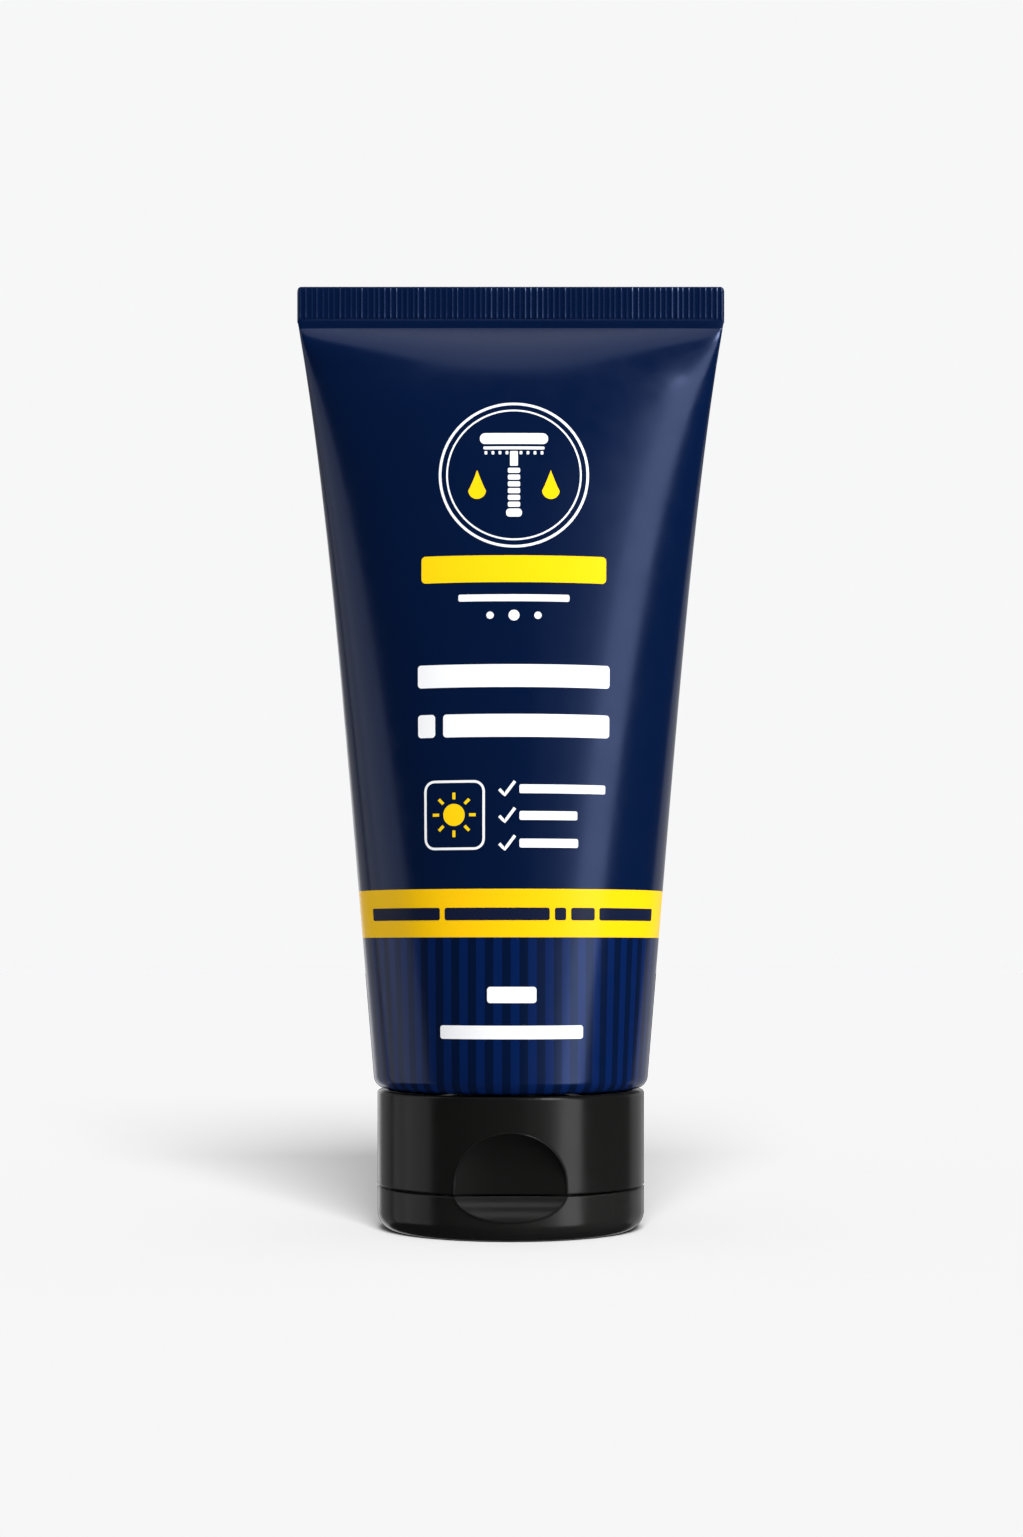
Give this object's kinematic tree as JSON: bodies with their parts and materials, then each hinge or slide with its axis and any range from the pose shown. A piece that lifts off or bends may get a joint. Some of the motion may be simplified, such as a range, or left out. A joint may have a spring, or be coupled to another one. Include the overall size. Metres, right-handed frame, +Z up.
{
  "type": "grooming cream squeeze tube",
  "caption": "Crimp-sealed squeeze tube standing on a flip-top screw cap with a thumb recess, a snap hinge and a sealed orifice.",
  "frame": {"origin": "under the middle of the closed lid, on the surface that the tube stands on", "axes": "+Z up along the tube's axis from the lid to the crimped seal, +X along the seal's width, -Y out of the front with the thumb recess, +Y out of the back with the hinge"},
  "size_m": [0.05, 0.032, 0.1101],
  "materials": {
    "sleeve_laminate": "satin",
    "head_plastic": "satin",
    "seal_foil": "satin",
    "cream": "satin",
    "cap_plastic": "satin"
  },
  "bodies": {
    "cap": {"cap_base": "cap_plastic", "hinge_films": "cap_plastic", "hinge_spring": "cap_plastic"},
    "lid": {"cap_lid": "cap_plastic"},
    "foil": {"foil_seal": "seal_foil"},
    "tube": {"tube_sleeve": "sleeve_laminate", "tube_head": "head_plastic", "cream_fill": "cream"}
  },
  "joints": [
    {"name": "lid_hinge", "type": "hinge", "parent": "cap", "child": "lid", "pos_m": [0, 0.0146, 0.00515], "axis": [1, 0, 0], "range_deg": [0, 150], "deforming": ["hinge_films", "hinge_spring"]},
    {"name": "cap_lift", "type": "slide", "parent": "cap", "child": "foil", "axis": [0, 0, 1], "range_m": [0, 0.00376]},
    {"name": "cap_turn", "type": "hinge", "parent": "foil", "child": "tube", "pos_m": [0, 0, 0.0165], "axis": [0, 0, 1], "range_deg": [0, 450]}
  ],
  "couplings": [
    {"joint": "cap_lift", "follows": "cap_turn", "m_per_rad": 0.00047746}
  ]
}
